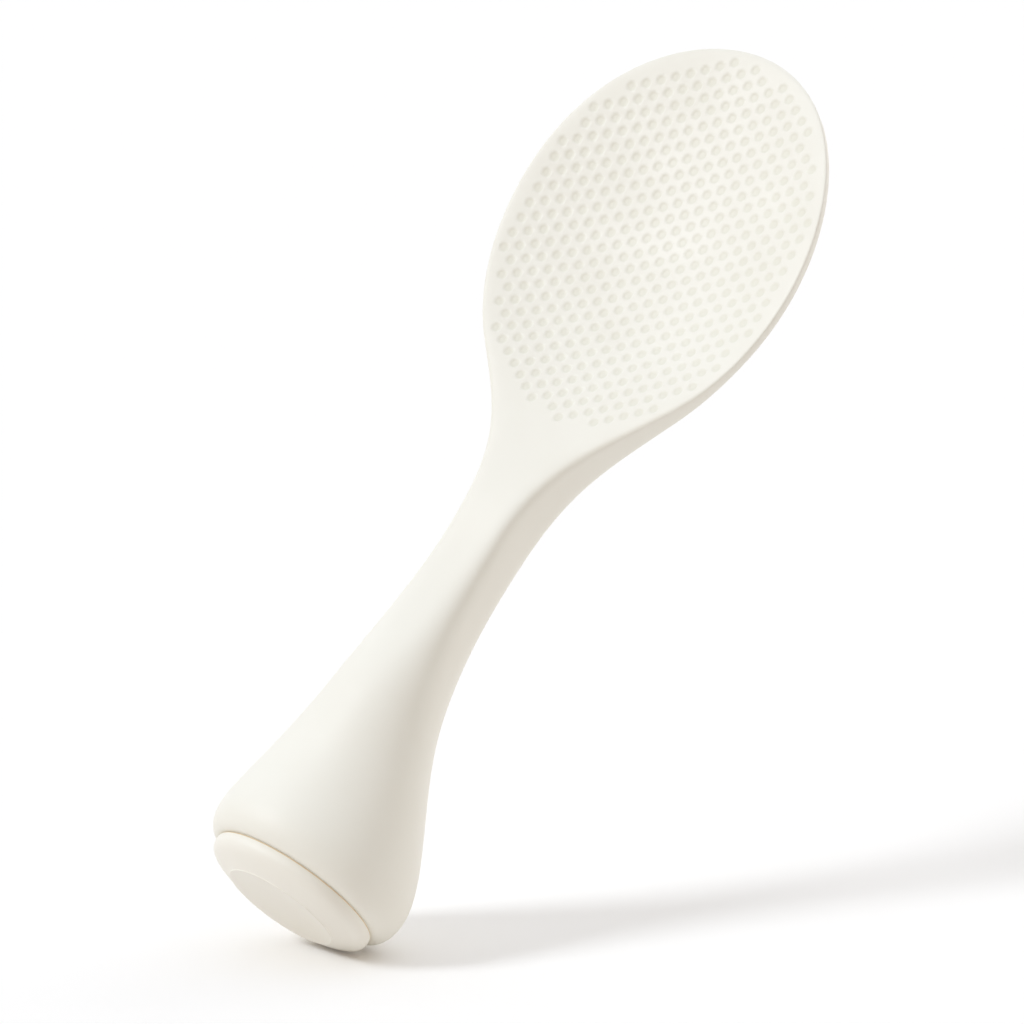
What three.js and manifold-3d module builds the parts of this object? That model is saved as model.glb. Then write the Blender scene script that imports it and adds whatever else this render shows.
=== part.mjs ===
// A self-standing rice paddle. Blade, neck and hollow flared handle are one moulding, which stands on a round
// foot cap. The cap plugs into the handle and carries a steel weight that keeps the tall paddle upright.
// Millimetres, +Z up, the dimpled face towards -Y. The origin is under the middle of the paddle's box, in the
// plane that the foot stands on.

import * as THREE from 'three';
import { mergeGeometries, mergeVertices } from 'three/addons/utils/BufferGeometryUtils.js';
import Module from 'manifold-3d';

// Foot cap, below the seam
const capHeight = 5.2;
const capRadius = 19.7;
const capTopRadius = 19.2;
const capWidestHeight = 4;
const capFlatRadius = 13.2;
const capRimAngle = 0.37;
const capRimHold = 3.4;
const capSideHold = 2.2;
const capDishRadius = 12.5;
const capDishDepth = 1.6;
const capFloor = 2.4;
const seamGap = 0.35;

// Plug of the cap in the handle's socket
const socketRadius = 17.4;
const socketDepth = 11.5;
const plugClearance = 0.3;
const plugHeight = 10;
const plugWall = 1.9;
const plugChamfer = 0.8;
const sealThickness = 1.9;
const sealClearance = 0.15;
const sealRise = 5;

// Steel weight and its screw
const weightHeight = 16;
const weightChamfer = 1;
const weightClearance = 0.5;
const seatGap = 0.25;
const bossRadius = 3.4;
const bossHeight = 8;
const screwRadius = 1.5;
const screwClearance = 0.3;
const screwLength = 14;
const screwHeadRadius = 3;
const screwHeadHeight = 2.2;
const screwSlotWidth = 0.9;
const screwSlotLength = 3.4;
const screwSlotDepth = 1.2;

// Handle, with heights measured up from the end of its lip
const lipRadius = 20;
const handleRadius = 23.6;
const handleWidestRise = 6.5;
const waistHalfWidth = 7.3;
const waistHalfDepth = 7.7;
const waistRise = 83.3;
const flareHold = 13;
const waistHold = 43.5;
const handleWall = 3;
const coreStep = 1.2;
const hollowRise = 62;

// Blade, with its widest place measured up from the end of the lip
const bladeHalfWidth = 38.1;
const bladeRise = 159.5;
const bladeUpperLength = 46.4;
const bladeLowerLength = 48.1;
const bladeHalfThickness = 1.9;
const bladeDishRadius = 120;
const neckHold = 20.8;
const shoulderAngle = 0.806;
const shoulderHold = 15.9;
const thinningLength = 58;
const neckFlattenLength = 50;
const roundFullness = 2;
const bladeFrontFullness = 8;
const bladeBackFullness = 6;

// How far the middle of the section lies in front of the foot's axis
const flareBow = 11.5;
const waistBow = 15.6;
const shoulderBow = 20.3;
const bladeBow = 25.1;
const tipBow = 38.2;

// Dimples of the blade's face
const dimpleRadius = 1.2;
const dimpleDepth = 0.6;
const dimpleSides = 6;
const dimpleProud = 0.15;
const dimpleColumnPitch = 2.9;
const dimpleRowPitch = 3.83;
const dimpleMargin = 2.8;
const dimpleStart = 0.8;

// Fineness of the facets
const ringPoints = 32;
const roundSegments = 40;
const lipSteps = 4;
const flareSteps = 10;
const shoulderSteps = 9;
const lowerBladeSteps = 6;
const upperBladeSteps = 10;
const arcSteps = 4;
const sealTubeSegments = 8;
const overcut = 1;
const weldDistance = 1e-5;

const wasm = await Module();
wasm.setup();

function toSolid(geometry) {
  const bare = geometry.clone();
  bare.deleteAttribute('normal');
  bare.deleteAttribute('uv');
  const merged = mergeVertices(bare, weldDistance);
  return new wasm.Manifold(new wasm.Mesh({
    numProp: 3,
    vertProperties: new Float32Array(merged.attributes.position.array),
    triVerts: new Uint32Array(merged.index.array),
  }));
}

function toGeometry(solid) {
  const mesh = solid.getMesh();
  const geometry = new THREE.BufferGeometry();
  geometry.setAttribute('position', new THREE.BufferAttribute(new Float32Array(mesh.vertProperties), 3));
  geometry.setIndex(new THREE.BufferAttribute(new Uint32Array(mesh.triVerts), 1));
  geometry.computeVertexNormals();
  return geometry;
}

function smoothStep(start, end, value) {
  return THREE.MathUtils.smoothstep(value, start, end);
}

// A curve through [height, value] points, level at its first point
function smoothThrough(points) {
  const slopes = points.map((point, i) => {
    if (i === 0) {
      return 0;
    }
    const before = points[i - 1];
    const after = points[Math.min(i + 1, points.length - 1)];
    return (after[1] - before[1]) / (after[0] - before[0]);
  });
  return (height) => {
    const h = THREE.MathUtils.clamp(height, points[0][0], points[points.length - 1][0]);
    const i = Math.max(1, points.findIndex((point) => point[0] >= h));
    const [h0, v0] = points[i - 1];
    const [h1, v1] = points[i];
    const span = h1 - h0;
    const t = (h - h0) / span;
    const ease = t * t * (3 - 2 * t);
    const leaving = t * (1 - t) * (1 - t) * span * slopes[i - 1];
    const arriving = t * t * (t - 1) * span * slopes[i];
    return v0 + (v1 - v0) * ease + leaving + arriving;
  };
}

// Skin over closed rings of equal point counts, with a fan at each end
function loft(rings, firstPoint, lastPoint) {
  const count = rings[0].length;
  const points = [firstPoint, ...rings.flat(), lastPoint];
  const last = points.length - 1;
  const faces = [];
  for (let i = 0; i < count; i += 1) {
    const next = (i + 1) % count;
    const top = 1 + (rings.length - 1) * count;
    faces.push(0, 1 + next, 1 + i);
    faces.push(last, top + i, top + next);
    for (let ring = 0; ring < rings.length - 1; ring += 1) {
      const low = 1 + ring * count;
      const high = low + count;
      faces.push(low + i, low + next, high + next);
      faces.push(low + i, high + next, high + i);
    }
  }
  const geometry = new THREE.BufferGeometry();
  geometry.setAttribute('position', new THREE.Float32BufferAttribute(points.flatMap((p) => [p.x, p.y, p.z]), 3));
  geometry.setIndex(faces);
  return geometry;
}

// A turned piece: the profile's points are radius and height
function turned(profile) {
  const geometry = new THREE.LatheGeometry(profile, roundSegments);
  geometry.rotateX(Math.PI / 2);
  return geometry;
}

function corner(radius, height) {
  return new THREE.Vector2(radius, height);
}

// Half-width of the paddle against height, as one chain of curves from lip to tip
const shoulder = corner(
  bladeHalfWidth * Math.cos(shoulderAngle),
  bladeRise - bladeLowerLength * Math.sin(shoulderAngle),
);
const shoulderTangent = corner(
  bladeHalfWidth * Math.sin(shoulderAngle),
  bladeLowerLength * Math.cos(shoulderAngle),
).setLength(shoulderHold);
const tipRise = bladeRise + bladeUpperLength;

const lipCurve = new THREE.EllipseCurve(
  lipRadius, handleWidestRise, handleRadius - lipRadius, handleWidestRise, -Math.PI / 2, 0,
);
const flareCurve = new THREE.CubicBezierCurve(
  corner(handleRadius, handleWidestRise),
  corner(handleRadius, handleWidestRise + flareHold),
  corner(waistHalfWidth, waistRise - waistHold),
  corner(waistHalfWidth, waistRise),
);
const shoulderCurve = new THREE.CubicBezierCurve(
  corner(waistHalfWidth, waistRise),
  corner(waistHalfWidth, waistRise + neckHold),
  shoulder.clone().sub(shoulderTangent),
  shoulder,
);
const lowerBladeCurve = new THREE.EllipseCurve(0, bladeRise, bladeHalfWidth, bladeLowerLength, -shoulderAngle, 0);
const upperBladeCurve = new THREE.EllipseCurve(0, bladeRise, bladeHalfWidth, bladeUpperLength, 0, Math.PI / 2);

const outline = [
  ...lipCurve.getPoints(lipSteps),
  ...flareCurve.getPoints(flareSteps).slice(1),
  ...shoulderCurve.getPoints(shoulderSteps).slice(1),
  ...lowerBladeCurve.getPoints(lowerBladeSteps).slice(1),
  ...upperBladeCurve.getPoints(upperBladeSteps).slice(1, -1),
];

const bow = smoothThrough([
  [handleWidestRise, 0],
  [(handleWidestRise + waistRise) / 2, -flareBow],
  [waistRise, -waistBow],
  [shoulder.y, -shoulderBow],
  [bladeRise, -bladeBow],
  [tipRise, -tipBow],
]);

// Round up to the widest place, then thinning evenly to the waist and on to the blade
function halfDepth(halfWidth, rise) {
  if (rise <= handleWidestRise) {
    return halfWidth;
  }
  if (rise <= waistRise) {
    const flare = (halfWidth - waistHalfWidth) / (handleRadius - waistHalfWidth);
    return waistHalfDepth + (handleRadius - waistHalfDepth) * flare;
  }
  const thinning = smoothStep(waistRise, waistRise + thinningLength, rise);
  return THREE.MathUtils.lerp(waistHalfDepth, bladeHalfThickness, thinning);
}

// The blade's middle surface curls forward towards its edges, so that the face is hollow
function middle(x, rise) {
  const dish = smoothStep(waistRise, shoulder.y, rise);
  return bow(rise) - dish * x * x / (2 * bladeDishRadius);
}

function sectionRing(halfWidth, rise) {
  const depth = halfDepth(halfWidth, rise);
  const flatten = smoothStep(waistRise - neckFlattenLength, shoulder.y, rise);
  const frontFullness = THREE.MathUtils.lerp(roundFullness, bladeFrontFullness, flatten);
  const backFullness = THREE.MathUtils.lerp(roundFullness, bladeBackFullness, flatten);
  const towardsTip = Math.max(0, (rise - bladeRise) / bladeUpperLength);
  const ring = [];
  for (let i = 0; i < ringPoints; i += 1) {
    const angle = 2 * Math.PI * i / ringPoints;
    const x = halfWidth * Math.cos(angle);
    const across = towardsTip > 0 ? x / bladeHalfWidth : x / halfWidth;
    const edge = Math.min(1, Math.hypot(across, towardsTip));
    const side = Math.sign(Math.round(Math.sin(angle) * ringPoints));
    const fullness = side > 0 ? backFullness : frontFullness;
    const thickness = depth * (1 - edge ** fullness) ** (1 / fullness);
    ring.push(new THREE.Vector3(x, middle(x, rise) + side * thickness, rise));
  }
  return ring;
}

function paddleSkin() {
  const rings = outline.map((point) => sectionRing(point.x, point.y));
  return loft(rings, new THREE.Vector3(0, 0, 0), new THREE.Vector3(0, middle(0, tipRise), tipRise));
}

// The moulding core: a round socket, then a hollow that narrows upwards and so draws straight out of the lip
function handleHollow() {
  const socket = new THREE.CylinderGeometry(socketRadius, socketRadius, socketDepth + overcut, roundSegments);
  socket.rotateX(Math.PI / 2);
  socket.translate(0, 0, (socketDepth - overcut) / 2);
  const coreRadius = socketRadius - coreStep;
  const rises = flareCurve.getPoints(flareSteps).filter((point) => point.y > socketDepth && point.y < hollowRise);
  const stations = [{ halfWidth: coreRadius, front: -coreRadius, back: coreRadius, rise: socketDepth - overcut }];
  for (const point of rises) {
    const inside = halfDepth(point.x, point.y) - handleWall;
    stations.push({
      halfWidth: Math.min(coreRadius, point.x - handleWall),
      front: Math.max(-coreRadius, bow(point.y) - inside),
      back: Math.min(coreRadius, bow(point.y) + inside),
      rise: point.y,
    });
  }
  const rings = stations.map((station) => {
    const ring = [];
    for (let i = 0; i < ringPoints; i += 1) {
      const angle = 2 * Math.PI * i / ringPoints;
      const x = station.halfWidth * Math.cos(angle);
      const y = THREE.MathUtils.lerp(station.front, station.back, (1 + Math.sin(angle)) / 2);
      ring.push(new THREE.Vector3(x, y, station.rise));
    }
    return ring;
  });
  const centreOf = (station) => new THREE.Vector3(0, (station.front + station.back) / 2, station.rise);
  const core = loft(rings, centreOf(stations[0]), centreOf(stations[stations.length - 1]));
  return toSolid(socket).add(toSolid(core));
}

// Staggered columns of dimple centres, filling an oval that keeps off the blade's edge
function dimplePlaces() {
  const fieldHalfWidth = bladeHalfWidth - dimpleMargin;
  const columns = Math.ceil(fieldHalfWidth / dimpleColumnPitch);
  const rows = Math.ceil(Math.max(bladeUpperLength, bladeLowerLength) / dimpleRowPitch);
  const places = [];
  for (let column = -columns; column < columns; column += 1) {
    const x = (column + 1 / 2) * dimpleColumnPitch;
    const stagger = column % 2 === 0 ? 0 : 1 / 2;
    for (let row = -rows; row <= rows; row += 1) {
      const along = dimpleStart + (row + stagger) * dimpleRowPitch;
      const fieldLength = (along > 0 ? bladeUpperLength : bladeLowerLength) - dimpleMargin;
      if (Math.hypot(x / fieldHalfWidth, along / fieldLength) <= 1) {
        places.push([x, bladeRise + along]);
      }
    }
  }
  return places;
}

// One pointed pit for each dimple, square to the face where it sits
function dimplePits(skin) {
  const target = new THREE.Mesh(skin, new THREE.MeshBasicMaterial());
  const inwards = new THREE.Vector3(0, 1, 0);
  const height = dimpleDepth + dimpleProud;
  const pits = dimplePlaces().map(([x, rise]) => {
    const start = new THREE.Vector3(x, -2 * (tipBow + bladeHalfWidth), rise);
    const hit = new THREE.Raycaster(start, inwards).intersectObject(target)[0];
    const outwards = hit.face.normal;
    const pit = new THREE.ConeGeometry(dimpleRadius * height / dimpleDepth, height, dimpleSides);
    pit.applyQuaternion(new THREE.Quaternion().setFromUnitVectors(inwards, outwards.clone().negate()));
    const centre = hit.point.clone().addScaledVector(outwards, height / 2 - dimpleDepth);
    pit.translate(centre.x, centre.y, centre.z);
    return pit;
  });
  return toSolid(mergeGeometries(pits));
}

function paddleBody() {
  const skin = paddleSkin();
  return toGeometry(toSolid(skin).subtract(handleHollow()).subtract(dimplePits(skin)));
}

// Fits of the cap's plug, groove and boss
const plugRadius = socketRadius - plugClearance;
const plugTop = capHeight + plugHeight;
const sealCentreRadius = socketRadius - sealClearance - sealThickness / 2;
const sealHeight = capHeight + sealRise;
const grooveRadius = sealCentreRadius - sealThickness / 2 - sealClearance;
const grooveHalfHeight = sealThickness / 2 + sealClearance;
const cupRadius = grooveRadius - plugWall;
const floorTop = capDishDepth + capFloor;
const bossTop = floorTop + bossHeight;
const weightBottom = floorTop + seatGap;
const weightTop = weightBottom + weightHeight;
const weightRadius = cupRadius - weightClearance;
const screwSeat = weightTop + seatGap;
const screwTip = screwSeat - screwLength;
const screwHoleRadius = screwRadius + screwClearance;

function baseCap() {
  const dishCurve = new THREE.QuadraticBezierCurve(
    corner(0, capDishDepth), corner(capDishRadius / 2, capDishDepth), corner(capDishRadius, 0),
  );
  const underside = new THREE.CubicBezierCurve(
    corner(capFlatRadius, 0),
    corner(capFlatRadius + capRimHold * Math.cos(capRimAngle), capRimHold * Math.sin(capRimAngle)),
    corner(capRadius, capWidestHeight - capSideHold),
    corner(capRadius, capWidestHeight),
  );
  const topEdge = new THREE.EllipseCurve(
    capTopRadius, capWidestHeight, capRadius - capTopRadius, capHeight - capWidestHeight, 0, Math.PI / 2,
  );
  return turned([
    ...dishCurve.getPoints(arcSteps),
    ...underside.getPoints(arcSteps),
    ...topEdge.getPoints(arcSteps).slice(1),
    corner(plugRadius, capHeight),
    corner(plugRadius, sealHeight - grooveHalfHeight),
    corner(grooveRadius, sealHeight - grooveHalfHeight),
    corner(grooveRadius, sealHeight + grooveHalfHeight),
    corner(plugRadius, sealHeight + grooveHalfHeight),
    corner(plugRadius, plugTop - plugChamfer),
    corner(plugRadius - plugChamfer, plugTop),
    corner(cupRadius, plugTop),
    corner(cupRadius, floorTop),
    corner(bossRadius, floorTop),
    corner(bossRadius, bossTop),
    corner(screwHoleRadius, bossTop),
    corner(screwHoleRadius, screwTip - seatGap),
    corner(0, screwTip - seatGap),
  ]);
}

function capSeal() {
  const ring = new THREE.TorusGeometry(sealCentreRadius, sealThickness / 2, sealTubeSegments, roundSegments);
  ring.translate(0, 0, sealHeight);
  return ring;
}

function ballastWeight() {
  const boreRadius = bossRadius + weightClearance;
  const boreTop = bossTop + seatGap;
  return turned([
    corner(boreRadius, weightBottom),
    corner(weightRadius - weightChamfer, weightBottom),
    corner(weightRadius, weightBottom + weightChamfer),
    corner(weightRadius, weightTop - weightChamfer),
    corner(weightRadius - weightChamfer, weightTop),
    corner(screwHoleRadius, weightTop),
    corner(screwHoleRadius, boreTop),
    corner(boreRadius, boreTop),
    corner(boreRadius, weightBottom),
  ]);
}

function ballastScrew() {
  const blank = turned([
    corner(0, screwTip),
    corner(screwRadius, screwTip + screwRadius),
    corner(screwRadius, screwSeat),
    corner(screwHeadRadius, screwSeat),
    corner(screwHeadRadius, screwSeat + screwHeadHeight / 2),
    corner(screwHeadRadius - screwHeadHeight / 2, screwSeat + screwHeadHeight),
    corner(0, screwSeat + screwHeadHeight),
  ]);
  const slotHeight = screwSlotDepth + overcut;
  const slotCentre = screwSeat + screwHeadHeight - screwSlotDepth + slotHeight / 2;
  const slot = new THREE.BoxGeometry(screwSlotLength, screwSlotWidth, slotHeight);
  const crossSlot = new THREE.BoxGeometry(screwSlotWidth, screwSlotLength, slotHeight);
  slot.translate(0, 0, slotCentre);
  crossSlot.translate(0, 0, slotCentre);
  return toGeometry(toSolid(blank).subtract(toSolid(slot)).subtract(toSolid(crossSlot)));
}

const whitePlastic = { color: 0xf1efe8, roughness: 0.55, metalness: 0 };
const clearSilicone = { color: 0xd9d7d0, roughness: 0.5, metalness: 0 };
const platedSteel = { color: 0x9a9b9d, roughness: 0.4, metalness: 1 };

function piece(name, geometry, finish) {
  const mesh = new THREE.Mesh(geometry, new THREE.MeshStandardMaterial(finish));
  mesh.name = name;
  return mesh;
}

const ricePaddle = new THREE.Group();
const body = piece('paddle_body', paddleBody(), whitePlastic);
body.position.z = capHeight + seamGap;
ricePaddle.add(
  piece('base_cap', baseCap(), whitePlastic),
  piece('ballast_weight', ballastWeight(), platedSteel),
  piece('ballast_screw', ballastScrew(), platedSteel),
  piece('cap_seal', capSeal(), clearSilicone),
  body,
);

// The paddle leans forward of its foot, so the pieces move back until the origin is under the middle of their box
const box = new THREE.Box3().setFromObject(ricePaddle);
const boxMiddle = (box.min.y + box.max.y) / 2;
for (const mesh of ricePaddle.children) {
  mesh.position.y = -boxMiddle;
}

export default ricePaddle;
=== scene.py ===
import math

import bpy
import numpy as np
from mathutils import Matrix, Vector


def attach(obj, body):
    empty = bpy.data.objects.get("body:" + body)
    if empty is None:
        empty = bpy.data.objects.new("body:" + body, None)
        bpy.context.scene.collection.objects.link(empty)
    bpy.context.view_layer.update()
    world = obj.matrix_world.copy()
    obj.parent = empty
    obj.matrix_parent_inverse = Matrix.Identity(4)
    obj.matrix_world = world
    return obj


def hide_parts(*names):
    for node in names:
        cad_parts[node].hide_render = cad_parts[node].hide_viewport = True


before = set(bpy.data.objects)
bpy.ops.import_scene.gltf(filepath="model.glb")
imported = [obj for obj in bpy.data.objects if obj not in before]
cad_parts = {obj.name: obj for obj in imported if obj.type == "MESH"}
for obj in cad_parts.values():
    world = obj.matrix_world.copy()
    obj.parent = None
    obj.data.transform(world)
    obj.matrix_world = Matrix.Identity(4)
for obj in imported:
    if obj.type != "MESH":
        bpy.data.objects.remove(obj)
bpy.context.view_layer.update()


# Foot cap: a round moulding in warm white plastic, with a pillowy edge and a shallow dish under it.
# Its plug goes up into the handle's socket, with a groove for the seal and a boss for the weight's screw.
mm = 0.001
foot_y = 7.926 * mm
cap_height = 5.51 * mm
cap_radius = 19.7 * mm
cap_top_radius = 19.35 * mm
cap_widest_height = 4.2 * mm
cap_flat_radius = 13.1 * mm
cap_rim_angle = 0.37
cap_rim_hold = 3.4 * mm
cap_side_hold = 2.4 * mm
cap_dish_radius = 12.6 * mm
cap_dish_depth = 1 * mm
cap_bead_height = 0.18 * mm
cap_bead_width = 0.12 * mm
cap_floor_top = 4 * mm
plug_radius = 17.1 * mm
plug_top = 15.2 * mm
plug_round = 0.8 * mm
groove_radius = 15.2 * mm
groove_bottom = 9.1 * mm
groove_top = 11.3 * mm
cup_radius = 13.3 * mm
boss_radius = 3.4 * mm
boss_top = 12 * mm
screw_hole_radius = 1.8 * mm
screw_hole_bottom = 6.25 * mm
dish_steps = 28
pillow_steps = 24
crease_angle = math.radians(32)
weld_distance = 0.001 * mm


def arc(centre_radius, centre_height, radial_size, height_size, start, end, steps=12):
    """Points of (radius, height) along a quarter of an oval, between two angles in degrees."""
    angles = np.radians(np.linspace(start, end, steps + 1))
    radii = centre_radius + radial_size * np.cos(angles)
    heights = centre_height + height_size * np.sin(angles)
    return list(zip(radii.tolist(), heights.tolist()))


def bezier(points, steps=400):
    """Points along a curve that leaves its start and reaches its end by way of two handles."""
    t = np.linspace(0, 1, steps)[:, None]
    start, leaving, arriving, end = (np.array(point) for point in points)
    return (
        start * (1 - t) ** 3 + 3 * leaving * t * (1 - t) ** 2 + 3 * arriving * t * t * (1 - t) + end * t ** 3
    )


def turned(name, profile, steps=128):
    """Draws a profile of (radius, height) points from one vertex and spins it round the foot's axis."""
    bpy.ops.object.select_all(action="DESELECT")
    bpy.ops.mesh.primitive_plane_add(size=mm)
    piece = bpy.context.active_object
    piece.name = name
    bpy.ops.object.mode_set(mode="EDIT")
    bpy.ops.mesh.merge(type="CENTER")
    place = Vector((profile[0][0], foot_y, profile[0][1]))
    bpy.ops.transform.translate(value=place)
    for radius, height in profile[1:]:
        step = Vector((radius, foot_y, height)) - place
        bpy.ops.mesh.extrude_vertices_move(TRANSFORM_OT_translate={"value": step})
        place += step
    bpy.ops.mesh.select_all(action="SELECT")
    bpy.ops.mesh.spin(steps=steps, angle=math.tau, center=(0, foot_y, 0), axis=(0, 0, 1))
    bpy.ops.mesh.select_all(action="SELECT")
    bpy.ops.mesh.remove_doubles(threshold=weld_distance)
    bpy.ops.mesh.normals_make_consistent(inside=False)
    bpy.ops.object.mode_set(mode="OBJECT")
    bpy.ops.object.shade_smooth_by_angle(angle=crease_angle)
    return piece


dish = [
    (radius, cap_dish_depth * (1 - (radius / cap_dish_radius) ** 2))
    for radius in np.linspace(0, cap_dish_radius, dish_steps).tolist()
]
rim_reach = (cap_rim_hold * math.cos(cap_rim_angle), cap_rim_hold * math.sin(cap_rim_angle))
bead_foot = (cap_flat_radius + cap_bead_width, cap_bead_height)
pillow = bezier((
    bead_foot, (bead_foot[0] + rim_reach[0], bead_foot[1] + rim_reach[1]),
    (cap_radius, cap_widest_height - cap_side_hold), (cap_radius, cap_widest_height),
), pillow_steps)
cap_profile = (
    dish
    + [(cap_flat_radius, 0)]
    + pillow.tolist()
    + arc(
        cap_top_radius, cap_widest_height,
        cap_radius - cap_top_radius, cap_height - cap_widest_height, 0, 90,
    )[1:]
    + [(plug_radius, cap_height), (plug_radius, groove_bottom), (groove_radius, groove_bottom)]
    + [(groove_radius, groove_top), (plug_radius, groove_top)]
    + arc(plug_radius - plug_round, plug_top - plug_round, plug_round, plug_round, 0, 90, 5)
    + [(cup_radius, plug_top), (cup_radius, cap_floor_top), (boss_radius, cap_floor_top)]
    + [(boss_radius, boss_top), (screw_hole_radius, boss_top), (screw_hole_radius, screw_hole_bottom)]
    + [(0, screw_hole_bottom)]
)
foot_cap = turned("foot_cap", cap_profile)

# The satin of a moulding: a very fine grain, and a slow drift of tone and gloss
patch_scale = 45
drift_low = 0.3
drift_high = 0.7
grain_strength = 0.35
moulded_satin = bpy.data.node_groups.new("moulded_satin", "ShaderNodeTree")
moulded_satin.interface.new_socket("Place", in_out="INPUT", socket_type="NodeSocketVector")
moulded_satin.interface.new_socket("Grain Scale", in_out="INPUT", socket_type="NodeSocketFloat")
moulded_satin.interface.new_socket("Patch Scale", in_out="INPUT", socket_type="NodeSocketFloat")
moulded_satin.interface.new_socket("Grain", in_out="OUTPUT", socket_type="NodeSocketFloat")
moulded_satin.interface.new_socket("Drift", in_out="OUTPUT", socket_type="NodeSocketFloat")
satin_in = moulded_satin.nodes.new("NodeGroupInput")
satin_out = moulded_satin.nodes.new("NodeGroupOutput")
satin_grain = moulded_satin.nodes.new("ShaderNodeTexNoise")
satin_grain.inputs["Detail"].default_value = 2
satin_drift = moulded_satin.nodes.new("ShaderNodeTexNoise")
satin_drift.inputs["Detail"].default_value = 3
moulded_satin.links.new(satin_in.outputs["Place"], satin_grain.inputs["Vector"])
moulded_satin.links.new(satin_in.outputs["Place"], satin_drift.inputs["Vector"])
moulded_satin.links.new(satin_in.outputs["Grain Scale"], satin_grain.inputs["Scale"])
moulded_satin.links.new(satin_in.outputs["Patch Scale"], satin_drift.inputs["Scale"])
moulded_satin.links.new(satin_grain.outputs["Fac"], satin_out.inputs["Grain"])
moulded_satin.links.new(satin_drift.outputs["Fac"], satin_out.inputs["Drift"])


def satin_finish(name, pale, warm, smooth, rough, grain_scale, grain_height):
    """A moulded finish whose colour and gloss drift a little, with a fine grain in relief."""
    finish = bpy.data.materials.new(name)
    finish.use_nodes = True
    nodes = finish.node_tree.nodes
    links = finish.node_tree.links
    shader = nodes["Principled BSDF"]
    place = nodes.new("ShaderNodeTexCoord")
    satin = nodes.new("ShaderNodeGroup")
    satin.node_tree = moulded_satin
    satin.inputs["Grain Scale"].default_value = grain_scale
    satin.inputs["Patch Scale"].default_value = patch_scale
    links.new(place.outputs["Object"], satin.inputs["Place"])
    tone = nodes.new("ShaderNodeMix")
    tone.data_type = "RGBA"
    tone.inputs["A"].default_value = pale
    tone.inputs["B"].default_value = warm
    links.new(satin.outputs["Drift"], tone.inputs["Factor"])
    links.new(tone.outputs["Result"], shader.inputs["Base Color"])
    gloss = nodes.new("ShaderNodeMapRange")
    gloss.inputs["From Min"].default_value = drift_low
    gloss.inputs["From Max"].default_value = drift_high
    gloss.inputs["To Min"].default_value = smooth
    gloss.inputs["To Max"].default_value = rough
    links.new(satin.outputs["Drift"], gloss.inputs["Value"])
    links.new(gloss.outputs["Result"], shader.inputs["Roughness"])
    relief = nodes.new("ShaderNodeBump")
    relief.inputs["Strength"].default_value = grain_strength
    relief.inputs["Distance"].default_value = grain_height
    links.new(satin.outputs["Grain"], relief.inputs["Height"])
    links.new(relief.outputs["Normal"], shader.inputs["Normal"])
    return finish


# Painted light: the cap is of the paddle's plastic, but its colours are painted a little paler, for the
# brighter light that falls on the cap
cap_pale_painted_light = (0.895, 0.891, 0.842, 1)
cap_warm_painted_light = (0.865, 0.855, 0.8, 1)
plastic_smooth = 0.44
plastic_rough = 0.58
plastic_grain_scale = 2600
plastic_grain_height = 0.02 * mm
cap_plastic = satin_finish(
    "cap_plastic", cap_pale_painted_light, cap_warm_painted_light, plastic_smooth, plastic_rough,
    plastic_grain_scale, plastic_grain_height,
)

# Painted shade: the cap's colour is darkened to a thin golden line just under the lip, for the shade that
# falls in the seam
painted_seam_shade = (0.78, 0.58, 0.34, 1)
seam_line = 5.29 * mm
seam_reach = 0.22 * mm
cap_nodes = cap_plastic.node_tree.nodes
cap_links = cap_plastic.node_tree.links
cap_colour = cap_nodes["Principled BSDF"].inputs["Base Color"]
cap_place = cap_nodes.new("ShaderNodeSeparateXYZ")
from_seam = cap_nodes.new("ShaderNodeMath")
from_seam.operation = "SUBTRACT"
from_seam.inputs[1].default_value = seam_line
seam_distance = cap_nodes.new("ShaderNodeMath")
seam_distance.operation = "ABSOLUTE"
painted_seam_shade_mask = cap_nodes.new("ShaderNodeMapRange")
painted_seam_shade_mask.inputs["From Max"].default_value = seam_reach
painted_seam_shade_mask.inputs["To Min"].default_value = 1
painted_seam_shade_mask.inputs["To Max"].default_value = 0
painted_seam_shade_tone = cap_nodes.new("ShaderNodeMix")
painted_seam_shade_tone.data_type = "RGBA"
painted_seam_shade_tone.blend_type = "MULTIPLY"
painted_seam_shade_tone.inputs["B"].default_value = painted_seam_shade
cap_links.new(cap_nodes["Texture Coordinate"].outputs["Object"], cap_place.inputs["Vector"])
cap_links.new(cap_place.outputs["Z"], from_seam.inputs[0])
cap_links.new(from_seam.outputs["Value"], seam_distance.inputs[0])
cap_links.new(seam_distance.outputs["Value"], painted_seam_shade_mask.inputs["Value"])
cap_links.new(painted_seam_shade_mask.outputs["Result"], painted_seam_shade_tone.inputs["Factor"])
cap_links.new(cap_colour.links[0].from_socket, painted_seam_shade_tone.inputs["A"])
cap_links.new(painted_seam_shade_tone.outputs["Result"], cap_colour)
foot_cap.data.materials.append(cap_plastic)
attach(foot_cap, "foot")
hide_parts("base_cap")


# Seal: a soft silicone ring lying in the plug's groove. It keeps water out of the handle
# and grips the socket, so that the cap stays in.
seal_radius = 16.3 * mm
seal_thickness = 1.9 * mm
seal_height = 10.2 * mm
silicone_pale = (0.70, 0.69, 0.66, 1)
silicone_warm = (0.66, 0.64, 0.60, 1)
silicone_smooth = 0.34
silicone_rough = 0.42
silicone_grain_scale = 3500
silicone_grain_height = 0.01 * mm

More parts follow.
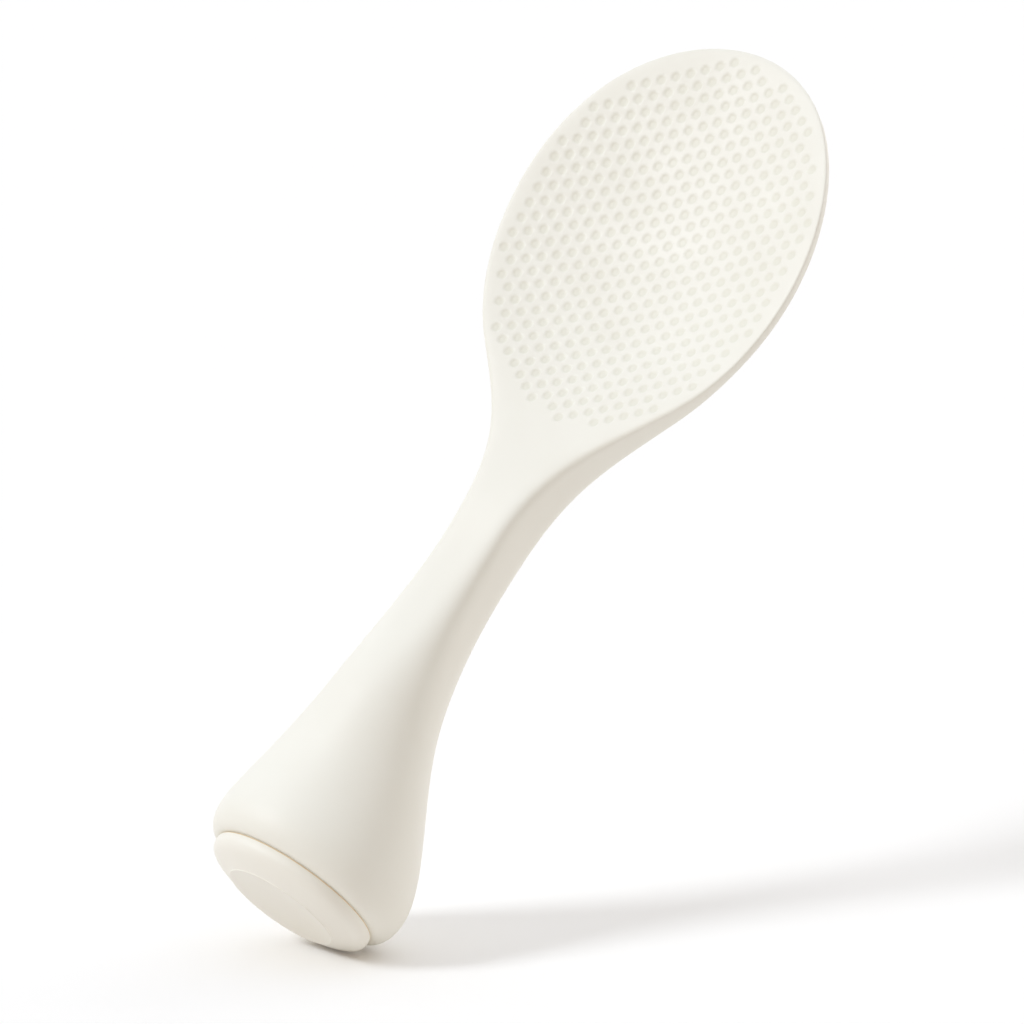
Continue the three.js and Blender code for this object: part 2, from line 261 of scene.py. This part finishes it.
bpy.ops.object.select_all(action="DESELECT")
bpy.ops.mesh.primitive_torus_add(
    major_radius=seal_radius, minor_radius=seal_thickness / 2, major_segments=128, minor_segments=20,
)
cap_ring = bpy.context.active_object
cap_ring.name = "cap_ring"
bpy.ops.object.mode_set(mode="EDIT")
bpy.ops.mesh.select_all(action="SELECT")
bpy.ops.transform.translate(value=(0, foot_y, seal_height))
bpy.ops.object.mode_set(mode="OBJECT")
bpy.ops.object.shade_smooth()
silicone = satin_finish(
    "silicone", silicone_pale, silicone_warm, silicone_smooth, silicone_rough,
    silicone_grain_scale, silicone_grain_height,
)
cap_ring.data.materials.append(silicone)
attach(cap_ring, "foot")
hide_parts("cap_seal")


# Weight: a turned steel slug, zinc plated, that fills the cap's cup and stands over the boss.
# It keeps the tall paddle upright.
weight_bottom = 4.25 * mm
weight_top = 20.25 * mm
weight_radius = 12.8 * mm
weight_chamfer = 1 * mm
weight_bore = 3.9 * mm
weight_bore_top = 12.25 * mm
steel_pale = (0.62, 0.615, 0.60, 1)
steel_dark = (0.52, 0.515, 0.505, 1)
slug_ring_scale = 1400
ring_distortion = 1.5
ring_strength = 0.2
ring_height = 0.01 * mm
mottle_scale = 300
plating_smooth = 0.28
plating_rough = 0.42

weight_profile = [
    (weight_bore, weight_bottom),
    (weight_radius - weight_chamfer, weight_bottom),
    (weight_radius, weight_bottom + weight_chamfer),
    (weight_radius, weight_top - weight_chamfer),
    (weight_radius - weight_chamfer, weight_top),
    (screw_hole_radius, weight_top),
    (screw_hole_radius, weight_bore_top),
    (weight_bore, weight_bore_top),
    (weight_bore, weight_bottom),
]
steel_slug = turned("steel_slug", weight_profile)


def plated_finish(name, pale, dark, ring_scale):
    """Zinc on turned steel: fine lathe rings in the gloss, and a slow mottle in the colour."""
    finish = bpy.data.materials.new(name)
    finish.use_nodes = True
    nodes = finish.node_tree.nodes
    links = finish.node_tree.links
    shader = nodes["Principled BSDF"]
    shader.inputs["Metallic"].default_value = 1
    place = nodes.new("ShaderNodeTexCoord")
    rings = nodes.new("ShaderNodeTexWave")
    rings.wave_type = "RINGS"
    rings.rings_direction = "SPHERICAL"
    rings.inputs["Scale"].default_value = ring_scale
    rings.inputs["Distortion"].default_value = ring_distortion
    rings.inputs["Detail"].default_value = 3
    mottle = nodes.new("ShaderNodeTexNoise")
    mottle.inputs["Scale"].default_value = mottle_scale
    on_axis = nodes.new("ShaderNodeMapping")
    on_axis.inputs["Location"].default_value = (0, -foot_y, 0)
    links.new(place.outputs["Object"], on_axis.inputs["Vector"])
    links.new(on_axis.outputs["Vector"], rings.inputs["Vector"])
    links.new(place.outputs["Object"], mottle.inputs["Vector"])
    tone = nodes.new("ShaderNodeMix")
    tone.data_type = "RGBA"
    tone.inputs["A"].default_value = pale
    tone.inputs["B"].default_value = dark
    links.new(mottle.outputs["Fac"], tone.inputs["Factor"])
    links.new(tone.outputs["Result"], shader.inputs["Base Color"])
    gloss = nodes.new("ShaderNodeMapRange")
    gloss.inputs["To Min"].default_value = plating_smooth
    gloss.inputs["To Max"].default_value = plating_rough
    links.new(rings.outputs["Fac"], gloss.inputs["Value"])
    links.new(gloss.outputs["Result"], shader.inputs["Roughness"])
    relief = nodes.new("ShaderNodeBump")
    relief.inputs["Strength"].default_value = ring_strength
    relief.inputs["Distance"].default_value = ring_height
    links.new(rings.outputs["Fac"], relief.inputs["Height"])
    links.new(relief.outputs["Normal"], shader.inputs["Normal"])
    return finish


plated_steel = plated_finish("plated_steel", steel_pale, steel_dark, slug_ring_scale)
steel_slug.data.materials.append(plated_steel)
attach(steel_slug, "foot")
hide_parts("ballast_weight")


# Screw: a cold-headed steel screw, zinc plated, with a pan head and a cross slot.
# It goes down through the weight into the cap's boss and holds the two together.
screw_seat = 20.5 * mm
screw_tip = 6.5 * mm
screw_radius = 1.5 * mm
screw_head_radius = 3 * mm
screw_head_height = 2.2 * mm
screw_slot_width = 0.9 * mm
screw_slot_length = 3.4 * mm
screw_slot_depth = 1.2 * mm
screw_pale = (0.68, 0.675, 0.66, 1)
screw_dark = (0.57, 0.565, 0.555, 1)
screw_ring_scale = 2600

screw_profile = (
    [(0, screw_tip), (screw_radius, screw_tip + screw_radius), (screw_radius, screw_seat)]
    + [(screw_head_radius, screw_seat), (screw_head_radius, screw_seat + screw_head_height / 2)]
    + arc(
        screw_head_radius - screw_head_height / 2, screw_seat + screw_head_height / 2,
        screw_head_height / 2, screw_head_height / 2, 0, 90, 8,
    )[1:]
    + [(0, screw_seat + screw_head_height)]
)
weight_screw = turned("weight_screw", screw_profile, steps=64)
for slot_size in ((screw_slot_length, screw_slot_width), (screw_slot_width, screw_slot_length)):
    bpy.ops.object.select_all(action="DESELECT")
    bpy.ops.mesh.primitive_cube_add(size=1)
    cutter = bpy.context.active_object
    bpy.ops.object.mode_set(mode="EDIT")
    bpy.ops.mesh.select_all(action="SELECT")
    bpy.ops.transform.resize(value=(slot_size[0], slot_size[1], 2 * screw_slot_depth))
    bpy.ops.transform.translate(value=(0, foot_y, screw_seat + screw_head_height))
    bpy.ops.object.mode_set(mode="OBJECT")
    bpy.ops.object.select_all(action="DESELECT")
    bpy.context.view_layer.objects.active = weight_screw
    weight_screw.select_set(True)
    cut = weight_screw.modifiers.new("cross_slot", "BOOLEAN")
    cut.object = cutter
    cut.operation = "DIFFERENCE"
    bpy.ops.object.modifier_apply(modifier="cross_slot")
    bpy.data.objects.remove(cutter)
bpy.ops.object.shade_smooth_by_angle(angle=crease_angle)
screw_plating = plated_finish("screw_plating", screw_pale, screw_dark, screw_ring_scale)
weight_screw.data.materials.clear()
weight_screw.data.materials.append(screw_plating)
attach(weight_screw, "foot")
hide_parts("ballast_screw")


# Paddle: blade, neck and hollow flared handle in one shot of warm white plastic. The handle is round at its
# lip and flattens up the neck into a thin oval blade, a little hollow in front and dimpled there.
# It is pushed down over the cap's plug.
lip_height = 5.55 * mm
lip_radius = 20 * mm
handle_radius = 23.6 * mm
handle_widest = 6.5 * mm
waist_half_width = 7.3 * mm
waist_half_depth = 7.7 * mm
waist_rise = 83.3 * mm
flare_hold = 13 * mm
waist_hold = 43.5 * mm
blade_half_width = 38.1 * mm
blade_rise = 159.5 * mm
blade_upper = 46.4 * mm
blade_lower = 48.1 * mm
blade_half_thickness = 1.9 * mm
blade_dish_radius = 120 * mm
neck_hold = 20.8 * mm
shoulder_angle = 0.806
shoulder_hold = 15.9 * mm
thinning_length = 58 * mm
neck_flatten = 50 * mm
front_fullness = 8
back_fullness = 6
shoulder_width = blade_half_width * math.cos(shoulder_angle)
shoulder_rise = blade_rise - blade_lower * math.sin(shoulder_angle)
tip_rise = blade_rise + blade_upper


def ease(start, end, value):
    """From 0 at the start to 1 at the end, setting off and settling gently."""
    t = np.clip((value - start) / (end - start), 0, 1)
    return t * t * (3 - 2 * t)


# Half-width against height, from the lip to the tip
curve_points = 400
quarter = np.linspace(0, math.pi / 2, curve_points)
lip_curve = np.column_stack((
    lip_radius + (handle_radius - lip_radius) * np.sin(quarter), handle_widest * (1 - np.cos(quarter)),
))
flare_curve = bezier((
    (handle_radius, handle_widest), (handle_radius, handle_widest + flare_hold),
    (waist_half_width, waist_rise - waist_hold), (waist_half_width, waist_rise),
))
tangent = np.array((blade_half_width * math.sin(shoulder_angle), blade_lower * math.cos(shoulder_angle)))
tangent *= shoulder_hold / np.linalg.norm(tangent)
shoulder_curve = bezier((
    (waist_half_width, waist_rise), (waist_half_width, waist_rise + neck_hold),
    (shoulder_width - tangent[0], shoulder_rise - tangent[1]), (shoulder_width, shoulder_rise),
))
below = np.linspace(-shoulder_angle, 0, curve_points)
lower_curve = np.column_stack((blade_half_width * np.cos(below), blade_rise + blade_lower * np.sin(below)))
upper_curve = np.column_stack((
    blade_half_width * np.cos(quarter), blade_rise + blade_upper * np.sin(quarter),
))
outline = np.vstack((lip_curve, flare_curve[1:], shoulder_curve[1:], lower_curve[1:], upper_curve[1:]))

# How far the middle of the section lies in front of the foot's axis
flare_bow = 11.5 * mm
waist_bow = 15.6 * mm
shoulder_bow = 20.3 * mm
blade_bow = 25.1 * mm
tip_bow = 38.2 * mm
bow_points = np.array((
    (handle_widest, 0),
    ((handle_widest + waist_rise) / 2, flare_bow),
    (waist_rise, waist_bow),
    (shoulder_rise, shoulder_bow),
    (blade_rise, blade_bow),
    (tip_rise, tip_bow),
))


def bow(rise):
    """Where the middle of the section lies, by a smooth curve through the bow points."""
    heights, values = bow_points[:, 0], bow_points[:, 1]
    slopes = np.zeros(len(heights))
    slopes[1:-1] = (values[2:] - values[:-2]) / (heights[2:] - heights[:-2])
    slopes[-1] = (values[-1] - values[-2]) / (heights[-1] - heights[-2])
    height = min(max(rise, heights[0]), heights[-1])
    above = max(1, int(np.searchsorted(heights, height)))
    below = above - 1
    span = heights[above] - heights[below]
    t = (height - heights[below]) / span
    eased = t * t * (3 - 2 * t)
    leaving = t * (1 - t) ** 2 * span * slopes[below]
    arriving = t * t * (t - 1) * span * slopes[above]
    return -(values[below] + (values[above] - values[below]) * eased + leaving + arriving)


def half_width(rise):
    """Half of the section's width, read off the outline."""
    return float(np.interp(rise, outline[:, 1], outline[:, 0]))


def half_depth(width, rise):
    """Half of the section's depth: round at the lip, thinning from the waist to the blade."""
    if rise <= handle_widest:
        return width
    if rise <= waist_rise:
        flare = (width - waist_half_width) / (handle_radius - waist_half_width)
        return waist_half_depth + (handle_radius - waist_half_depth) * flare
    thinning = ease(waist_rise, waist_rise + thinning_length, rise)
    return waist_half_depth + (blade_half_thickness - waist_half_depth) * thinning


# Columns round a section: close together over the dimples, closer at the rim, wider apart behind
dimple_column = 2.9 * mm
dimple_row = 3.83 * mm
dimple_margin = 2.8 * mm
dimple_start = 0.8 * mm
columns_per_dimple = 8
rows_per_dimple = 10
front_columns = 106
rim_columns = 6
back_columns = 18
rim_width = 0.9 * mm
rim_share = 0.06
plain_band = 1.6 * mm
field_start = blade_rise - blade_lower + dimple_margin / 2


def across(width, rise):
    """Places across the front, from the middle to the edge: even over the dimples, closing up at the rim."""
    rim = min(rim_width, rim_share * width)
    index = np.arange(front_columns + 1)
    even = index / front_columns * (width - rim)
    spacing = dimple_column / columns_per_dimple
    inner = max(0, width - plain_band)
    last = inner / spacing
    squeezed = inner + (index - last) / (front_columns - last) * (width - rim - inner)
    lattice = np.where(index <= last, index * spacing, squeezed)
    places = even + (lattice - even) * ease(waist_rise, field_start, rise)
    closing = 1 - np.arange(1, rim_columns + 1) / rim_columns
    return np.append(places, width - rim * closing ** 2)


def behind(width):
    """Places across the back from the middle to the edge, without the edge itself."""
    rim = min(rim_width, rim_share * width)
    turn = np.arange(back_columns + 1) / back_columns * math.pi / 2
    closing = 1 - np.arange(1, rim_columns) / rim_columns
    return np.append(np.sin(turn) * (width - rim), width - rim * closing ** 2)


def section(width, rise):
    """One closed ring of the outside, from the left edge over the front to the right and back behind."""
    flatten = ease(waist_rise - neck_flatten, shoulder_rise, rise)
    towards_tip = max(0, (rise - blade_rise) / blade_upper)
    depth = half_depth(width, rise)
    dish = ease(waist_rise, shoulder_rise, rise)
    front, back = across(width, rise), behind(width)
    x = np.concatenate((-front[:0:-1], front, back[:0:-1], -back))
    side = np.concatenate((-np.ones(2 * len(front) - 1), np.ones(2 * len(back) - 1)))
    fullness = 2 + (np.where(side < 0, front_fullness, back_fullness) - 2) * flatten
    share = x / (blade_half_width if towards_tip > 0 else width)
    edge = np.minimum(1, np.hypot(share, towards_tip))
    thickness = depth * (1 - edge ** fullness) ** (1 / fullness)
    y = bow(rise) - dish * x * x / (2 * blade_dish_radius) + side * thickness
    return np.column_stack((x, y, np.full(len(x), rise)))


# Inside of the handle: a round socket for the plug, then a hollow that narrows upwards
socket_radius = 17.4 * mm
socket_depth = 11.5 * mm
core_radius = 16.2 * mm
handle_wall = 3 * mm
hollow_top = 60 * mm
mouth_chamfer = 0.35 * mm
hollow_rings = 20
round_shares = section(lip_radius, 0) / lip_radius


def hollow_ring(width, front, back, rise):
    """One closed ring of the inside, with as many points as a ring of the outside."""
    y = front + (back - front) * (1 + round_shares[:, 1]) / 2
    return np.column_stack((width * round_shares[:, 0], y, np.full(len(y), rise)))


rings = []
for rise in np.linspace(hollow_top, socket_depth, hollow_rings):
    width = half_width(rise)
    inside = half_depth(width, rise) - handle_wall
    front = max(-core_radius, bow(rise) - inside)
    back = min(core_radius, bow(rise) + inside)
    rings.append(hollow_ring(min(core_radius, width - handle_wall), front, back, rise))
rings.insert(0, np.repeat(rings[0].mean(axis=0, keepdims=True), len(rings[0]), axis=0))
mouth_radius = socket_radius + mouth_chamfer
rings.append(hollow_ring(socket_radius, -socket_radius, socket_radius, socket_depth))
rings.append(hollow_ring(socket_radius, -socket_radius, socket_radius, mouth_chamfer))
rings.append(hollow_ring(mouth_radius, -mouth_radius, mouth_radius, 0))

# Heights of the outside's rings, even over the dimples
lip_rows = 11
handle_rows = 37
neck_rows = 19
tip_rows = 13
row_step = dimple_row / rows_per_dimple
field_top = tip_rise - plain_band
rows_below = int((blade_rise + dimple_start - field_start) / row_step)
rows_above = int((field_top - blade_rise - dimple_start) / row_step)
field = blade_rise + dimple_start + np.arange(-rows_below, rows_above + 1) * row_step
tip_angle = math.asin((field[-1] - blade_rise) / blade_upper)
rises = np.concatenate((
    handle_widest * (1 - np.cos(np.linspace(0, math.pi / 2, lip_rows))),
    np.linspace(handle_widest, waist_rise, handle_rows)[1:],
    np.linspace(waist_rise, field[0], neck_rows)[1:-1],
    field,
    blade_rise + blade_upper * np.sin(np.linspace(tip_angle, math.pi / 2, tip_rows))[1:-1],
))
for rise in rises:
    rings.append(section(half_width(rise), rise))
tip = np.array(((0, bow(tip_rise), tip_rise),))
rings.append(np.repeat(tip, len(rings[0]), axis=0))
skin = np.array(rings)
skin = np.concatenate((skin, skin[:, :1]), axis=1)

# A flat grid is rolled up into the skin, one row of it to a ring, and closed along its seam and its ends
ring_count, column_count = skin.shape[:2]
bpy.ops.object.select_all(action="DESELECT")
bpy.ops.mesh.primitive_grid_add(x_subdivisions=column_count - 1, y_subdivisions=ring_count - 1, size=1)
paddle = bpy.context.active_object
paddle.name = "paddle"
flat = np.zeros(len(paddle.data.vertices) * 3)
paddle.data.vertices.foreach_get("co", flat)
flat = flat.reshape(-1, 3)
column = np.rint((flat[:, 0] + 0.5) * (column_count - 1)).astype(int)
ring = np.rint((flat[:, 1] + 0.5) * (ring_count - 1)).astype(int)
rolled = skin[ring, column]
rolled[:, 1] += foot_y
rolled[:, 2] += lip_height
paddle.data.vertices.foreach_set("co", rolled.ravel())
bpy.ops.object.mode_set(mode="EDIT")
bpy.ops.mesh.select_all(action="SELECT")
bpy.ops.mesh.remove_doubles(threshold=weld_distance)
bpy.ops.mesh.normals_make_consistent(inside=False)
bpy.ops.object.mode_set(mode="OBJECT")

# Dimples: staggered columns of round pits, filling an oval that keeps off the blade's edge
dimple_radius = 1.26 * mm
dimple_floor = 0.84 * mm
dimple_depth = 0.19 * mm
snap_reach = 0.178 * mm
dimple_crease = math.radians(65)
field_half_width = blade_half_width - dimple_margin
column_reach = math.ceil(field_half_width / dimple_column)
row_reach = math.ceil(blade_lower / dimple_row)
centres = []
for number in range(-column_reach, column_reach):
    x = (number + 1 / 2) * dimple_column
    stagger = (number % 2) / 2
    for row in range(-row_reach, row_reach + 1):
        along = dimple_start + (row + stagger) * dimple_row
        field_length = (blade_upper if along > 0 else blade_lower) - dimple_margin
        if math.hypot(x / field_half_width, along / field_length) <= 1:
            centres.append((x, blade_rise + along))
points = np.zeros(len(paddle.data.vertices) * 3)
paddle.data.vertices.foreach_get("co", points)
points = points.reshape(-1, 3)
facing = np.zeros(len(points) * 3)
paddle.data.vertices.foreach_get("normal", facing)
in_front = np.flatnonzero((facing.reshape(-1, 3)[:, 1] < 0) & (points[:, 2] > lip_height + field_start))
distance = np.full(len(in_front), math.inf)
for x, rise in centres:
    off = points[in_front][:, (0, 2)] - (x, lip_height + rise)
    reach = np.hypot(off[:, 0], off[:, 1])
    for edge in (dimple_floor, dimple_radius):
        close = np.flatnonzero(np.abs(reach - edge) < snap_reach)
        points[in_front[close, None], (0, 2)] += off[close] * (edge / reach[close] - 1)[:, None]
        reach[close] = edge
    distance = np.minimum(distance, reach)
paddle.data.vertices.foreach_set("co", points.ravel())
sunk = np.clip((dimple_radius - distance) / (dimple_radius - dimple_floor), 0, 1)
# The sinking share is also kept as the dimple attribute, the mask of the painted shade in the dimples
in_dimple = np.zeros(len(points))
in_dimple[in_front] = sunk
paddle.data.attributes.new("dimple", "FLOAT", "POINT").data.foreach_set("value", in_dimple)
dimples = paddle.vertex_groups.new(name="dimples")
for vertex, weight in zip(in_front.tolist(), sunk.tolist()):
    if weight > 0:
        dimples.add([vertex], weight, "REPLACE")
press = paddle.modifiers.new("press_dimples", "DISPLACE")
press.vertex_group = "dimples"
press.direction = "NORMAL"
press.mid_level = 0
press.strength = -dimple_depth
bpy.ops.object.modifier_apply(modifier="press_dimples")
paddle.vertex_groups.clear()
bpy.ops.object.shade_smooth_by_angle(angle=dimple_crease)

# Painted shade: the dimples' floors are painted darker and warmer than the face round them, for the shade
# that falls in the pits
painted_dimple_shade = (0.92, 0.92, 0.885, 1)
plastic_pale = (0.875, 0.876, 0.825, 1)
plastic_warm = (0.845, 0.84, 0.785, 1)
paddle_plastic = satin_finish(
    "paddle_plastic", plastic_pale, plastic_warm, plastic_smooth, plastic_rough,
    plastic_grain_scale, plastic_grain_height,
)
paddle_nodes = paddle_plastic.node_tree.nodes
paddle_links = paddle_plastic.node_tree.links
paddle_colour = paddle_nodes["Principled BSDF"].inputs["Base Color"]
painted_dimple_shade_mask = paddle_nodes.new("ShaderNodeAttribute")
painted_dimple_shade_mask.attribute_name = "dimple"
painted_dimple_shade_tone = paddle_nodes.new("ShaderNodeMix")
painted_dimple_shade_tone.data_type = "RGBA"
painted_dimple_shade_tone.blend_type = "MULTIPLY"
painted_dimple_shade_tone.inputs["B"].default_value = painted_dimple_shade
paddle_links.new(painted_dimple_shade_mask.outputs["Fac"], painted_dimple_shade_tone.inputs["Factor"])
paddle_links.new(paddle_colour.links[0].from_socket, painted_dimple_shade_tone.inputs["A"])
paddle_links.new(painted_dimple_shade_tone.outputs["Result"], paddle_colour)
paddle.data.materials.append(paddle_plastic)
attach(paddle, "paddle")
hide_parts("paddle_body")


# Camera: a long lens from the front left and a little below the foot, rolled so that the paddle leans right.
pixel = 0.214 * mm
focal_pixels = 5500
picture_pixels = 1024
foot_offset_pixels = (-216.95, 374.83)
turn_angle = math.radians(-34.92)
tilt_angle = math.radians(90 - 18.261)
roll_angle = math.radians(35.37)
turn = Matrix.Rotation(turn_angle, 3, "Z")
tilt = Matrix.Rotation(tilt_angle, 3, "X")
roll = Matrix.Rotation(roll_angle, 3, "Z")
to_picture = roll @ tilt @ turn
from_picture = to_picture.transposed()
foot_in_picture = Vector((foot_offset_pixels[0], foot_offset_pixels[1], focal_pixels)) * pixel
camera_place = Vector((0, foot_y, lip_height)) - from_picture @ foot_in_picture
camera_data = bpy.data.cameras.new("photo_camera")
camera_data.sensor_width = 36
camera_data.lens = camera_data.sensor_width * focal_pixels / picture_pixels
camera_data.clip_end = 20
camera = bpy.data.objects.new("photo_camera", camera_data)
bpy.context.scene.collection.objects.link(camera)
axes = Matrix((to_picture[0], -to_picture[1], -to_picture[2])).transposed()
camera.matrix_world = Matrix.Translation(camera_place) @ axes.to_4x4()
bpy.context.scene.camera = camera


# Floor: a level white sweep, touching the cap's rim where the leaning paddle rests on it.
# It is seen as plain white with the paddle's shadow, and from below it isn't seen at all.
# The light that it sends back up to the paddle is a little warmer.
floor_size = 8
floor_view_angle = math.radians(11)
floor_white_tone = (0.925, 0.926, 0.926, 1)
floor_bounce_tone = (0.955, 0.935, 0.92, 1)
floor_lift_tone = (0.06, 0.06, 0.065, 1)
floor_up = from_picture @ Vector((0, -math.cos(floor_view_angle), -math.sin(floor_view_angle)))
floor_right = from_picture @ Vector((1, 0, 0))
floor_near = floor_right.cross(floor_up)
touching = min(floor_up.dot(vertex.co) for piece in (foot_cap, paddle) for vertex in piece.data.vertices)
bpy.ops.object.select_all(action="DESELECT")
bpy.ops.mesh.primitive_plane_add(size=floor_size)
floor = bpy.context.active_object
floor.name = "floor"
floor_turn = floor_up.to_track_quat("Z", "Y").to_matrix().to_4x4()
floor.matrix_world = Matrix.Translation(floor_up * touching) @ floor_turn
floor_white = bpy.data.materials.new("floor_white")
floor_white.use_nodes = True
floor_nodes = floor_white.node_tree.nodes
floor_links = floor_white.node_tree.links
floor_nodes.clear()
floor_matt = floor_nodes.new("ShaderNodeBsdfDiffuse")
floor_tone = floor_nodes.new("ShaderNodeMix")
floor_tone.data_type = "RGBA"
floor_tone.inputs["A"].default_value = floor_bounce_tone
floor_tone.inputs["B"].default_value = floor_white_tone
floor_lift = floor_nodes.new("ShaderNodeEmission")
floor_lift.inputs["Color"].default_value = floor_lift_tone
floor_path = floor_nodes.new("ShaderNodeLightPath")
floor_sum = floor_nodes.new("ShaderNodeAddShader")
floor_clear = floor_nodes.new("ShaderNodeBsdfTransparent")
floor_facing = floor_nodes.new("ShaderNodeNewGeometry")
floor_pick = floor_nodes.new("ShaderNodeMixShader")
floor_out = floor_nodes.new("ShaderNodeOutputMaterial")
floor_links.new(floor_path.outputs["Is Camera Ray"], floor_tone.inputs["Factor"])
floor_links.new(floor_tone.outputs["Result"], floor_matt.inputs["Color"])
floor_links.new(floor_path.outputs["Is Camera Ray"], floor_lift.inputs["Strength"])
floor_links.new(floor_matt.outputs["BSDF"], floor_sum.inputs[0])
floor_links.new(floor_lift.outputs["Emission"], floor_sum.inputs[1])
floor_links.new(floor_facing.outputs["Backfacing"], floor_pick.inputs["Fac"])
floor_links.new(floor_sum.outputs["Shader"], floor_pick.inputs[1])
floor_links.new(floor_clear.outputs["BSDF"], floor_pick.inputs[2])
floor_links.new(floor_pick.outputs["Shader"], floor_out.inputs["Surface"])
floor.data.materials.append(floor_white)


# Light: a small white lamp on the left throws the shadow. A broad cool one above and a low white one behind,
# which throws none, light the rest, in a room with a warm glow that is seen as plain white.
glow_tone = (1, 0.58, 0.1, 1)
glow_strength = 0.27
seen_tone = (1, 1, 1, 1)
seen_strength = 1


def hang_lamp(name, height, around, breadth, energy, colour):
    """A far lamp: height over the floor, turn from the near side to the left, and breadth, in degrees."""
    lamp_data = bpy.data.lights.new(name, "SUN")
    lamp_data.energy = energy
    lamp_data.color = colour
    lamp_data.angle = math.radians(breadth)
    lamp = bpy.data.objects.new(name, lamp_data)
    bpy.context.scene.collection.objects.link(lamp)
    level = math.cos(math.radians(height))
    towards_lamp = (
        floor_up * math.sin(math.radians(height))
        + floor_near * level * math.cos(math.radians(around))
        - floor_right * level * math.sin(math.radians(around))
    )
    lamp.matrix_world = towards_lamp.to_track_quat("Z", "Y").to_matrix().to_4x4()
    return lamp_data


hang_lamp("left_lamp", height=39, around=67, breadth=16, energy=1.36, colour=(0.91, 0.955, 1))
hang_lamp("top_lamp", height=85, around=200, breadth=120, energy=2.1, colour=(0.67, 0.815, 0.99))
back_lamp = hang_lamp("back_lamp", height=2, around=222, breadth=80, energy=1.03, colour=(1, 0.99, 0.97))
back_lamp.use_shadow = False
room = bpy.data.worlds.new("white_room")
bpy.context.scene.world = room
room.use_nodes = True
room_nodes = room.node_tree.nodes
room_links = room.node_tree.links
room_nodes.clear()
room_light = room_nodes.new("ShaderNodeBackground")
room_light.inputs["Color"].default_value = glow_tone
room_light.inputs["Strength"].default_value = glow_strength
room_seen = room_nodes.new("ShaderNodeBackground")
room_seen.inputs["Color"].default_value = seen_tone
room_seen.inputs["Strength"].default_value = seen_strength
room_path = room_nodes.new("ShaderNodeLightPath")
camera_or_gloss = room_nodes.new("ShaderNodeMath")
camera_or_gloss.operation = "MAXIMUM"
or_through = room_nodes.new("ShaderNodeMath")
or_through.operation = "MAXIMUM"
room_pick = room_nodes.new("ShaderNodeMixShader")
room_out = room_nodes.new("ShaderNodeOutputWorld")
room_links.new(room_path.outputs["Is Camera Ray"], camera_or_gloss.inputs[0])
room_links.new(room_path.outputs["Is Glossy Ray"], camera_or_gloss.inputs[1])
room_links.new(camera_or_gloss.outputs["Value"], or_through.inputs[0])
room_links.new(room_path.outputs["Is Transmission Ray"], or_through.inputs[1])
room_links.new(or_through.outputs["Value"], room_pick.inputs["Fac"])
room_links.new(room_light.outputs["Background"], room_pick.inputs[1])
room_links.new(room_seen.outputs["Background"], room_pick.inputs[2])
room_links.new(room_pick.outputs["Shader"], room_out.inputs["Surface"])
bpy.context.scene.view_settings.view_transform = "Standard"
